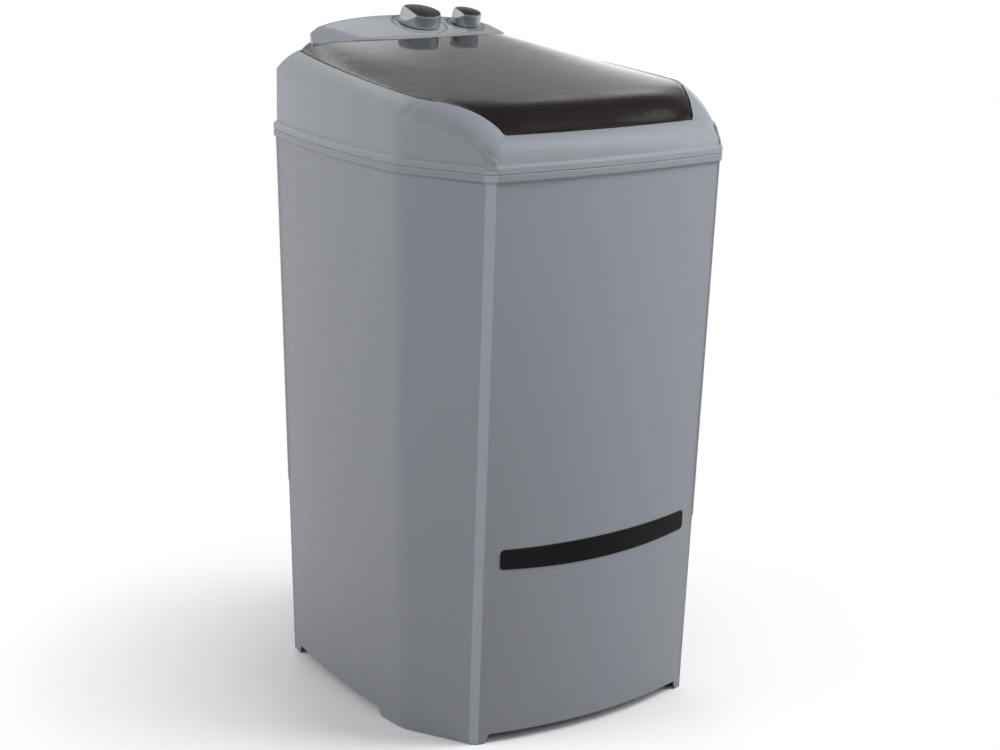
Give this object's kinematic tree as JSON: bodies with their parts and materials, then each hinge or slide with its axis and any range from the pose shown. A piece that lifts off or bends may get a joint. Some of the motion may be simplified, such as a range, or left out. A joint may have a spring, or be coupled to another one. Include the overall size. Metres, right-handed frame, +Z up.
{
  "type": "top-loading washing machine",
  "caption": "Upright top-loading washing machine with bevelled tapering cabinet, lift-off dark lid, rear knob console, agitator tub and belt drive.",
  "frame": {"origin": "on the floor, under the middle of the bounding box", "axes": "+Z up from the floor, -Y towards the front with the trim strip, +X to the right seen from the front"},
  "size_m": [0.556, 0.6078, 1.0489],
  "materials": {
    "cabinet_plastic": "satin cool grey",
    "frame_plastic": "light grey satin gloss",
    "console_plastic": "light grey satin gloss",
    "trim_gloss": "black gloss",
    "lid_smoke": "smoked dark gloss",
    "rubber": "matte",
    "panel_gloss": "clear-coated light grey",
    "screw_steel": "zinc plated",
    "case_plastic": "moulded",
    "nut_steel": "plated",
    "knob_grey": "light grey",
    "knob_insert": "black gloss",
    "shaft_steel": "turned",
    "tub_plastic": "moulded",
    "housing_alloy": "cast",
    "bearing_steel": "ground",
    "agitator_plastic": "moulded",
    "pulley_alloy": "cast",
    "belt_rubber": "matte",
    "bracket_steel": "galvanised",
    "stator_iron": "varnished",
    "coil_copper": "varnished copper",
    "fan_plastic": "moulded",
    "capacitor_can": "drawn",
    "drain_plastic": "moulded",
    "hose_rubber": "matte",
    "cable_pvc": "sheathed"
  },
  "bodies": {
    "machine": {"cabinet_shell": "cabinet_plastic", "top_frame": "frame_plastic", "console_housing": "console_plastic", "front_trim_strip": "trim_gloss", "lid_cushions": "rubber", "foot_pads": "rubber", "console_panel": "panel_gloss", "tub_screws": "screw_steel", "console_screws": "screw_steel", "housing_bolts": "screw_steel", "motor_bolts": "screw_steel", "timer_case": "case_plastic", "selector_case": "case_plastic", "case_nuts": "nut_steel", "tub": "tub_plastic", "bearing_housing": "housing_alloy", "bearing_lower": "bearing_steel", "bearing_upper": "bearing_steel", "shaft_seal": "rubber", "drive_belt": "belt_rubber", "motor_bracket": "bracket_steel", "motor_stator": "stator_iron", "motor_coils": "coil_copper", "motor_shield_upper": "housing_alloy", "motor_shield_lower": "housing_alloy", "capacitor": "capacitor_can", "capacitor_clamp": "bracket_steel", "drain_outlet": "drain_plastic", "drain_hose": "hose_rubber", "hose_clips": "bracket_steel", "drain_spigot": "drain_plastic", "cord_gland": "rubber", "supply_cable": "cable_pvc", "motor_cable": "cable_pvc", "cable_clips": "case_plastic", "terminal_block": "case_plastic"},
    "lid": {"lid": "lid_smoke"},
    "timer_dial": {"timer_knob": "knob_grey", "timer_knob_insert": "knob_insert", "timer_shaft": "shaft_steel"},
    "selector_dial": {"selector_knob": "knob_grey", "selector_knob_insert": "knob_insert", "selector_shaft": "shaft_steel"},
    "agitator_drive": {"agitator": "agitator_plastic", "agitator_screw": "screw_steel", "drive_shaft": "shaft_steel", "drive_pulley": "pulley_alloy", "pulley_nut": "nut_steel"},
    "motor_rotor": {"rotor_core": "stator_iron", "motor_shaft": "shaft_steel", "motor_pulley": "pulley_alloy", "motor_fan": "fan_plastic"}
  },
  "joints": [
    {"name": "lid_lift", "type": "slide", "parent": "machine", "child": "lid", "axis": [0, 0, 1], "range_m": [0, 0.3]},
    {"name": "timer_turn", "type": "hinge", "parent": "machine", "child": "timer_dial", "pos_m": [0.0375, 0.2515, 1.01896], "axis": [0, 0.2588, -0.9659], "range_deg": [0, 300]},
    {"name": "selector_turn", "type": "hinge", "parent": "machine", "child": "selector_dial", "pos_m": [0.1235, 0.2425, 1.01655], "axis": [0, 0.2588, -0.9659], "range_deg": [-60, 60]},
    {"name": "agitator_spin", "type": "hinge", "parent": "machine", "child": "agitator_drive", "pos_m": [0, -0.036, 0.4], "axis": [0, 0, 1], "continuous": true},
    {"name": "motor_spin", "type": "hinge", "parent": "machine", "child": "motor_rotor", "pos_m": [0.095, 0.099, 0.25], "axis": [0, 0, 1], "continuous": true}
  ],
  "couplings": [
    {"joint": "motor_spin", "follows": "agitator_spin", "ratio": 4.9167}
  ]
}
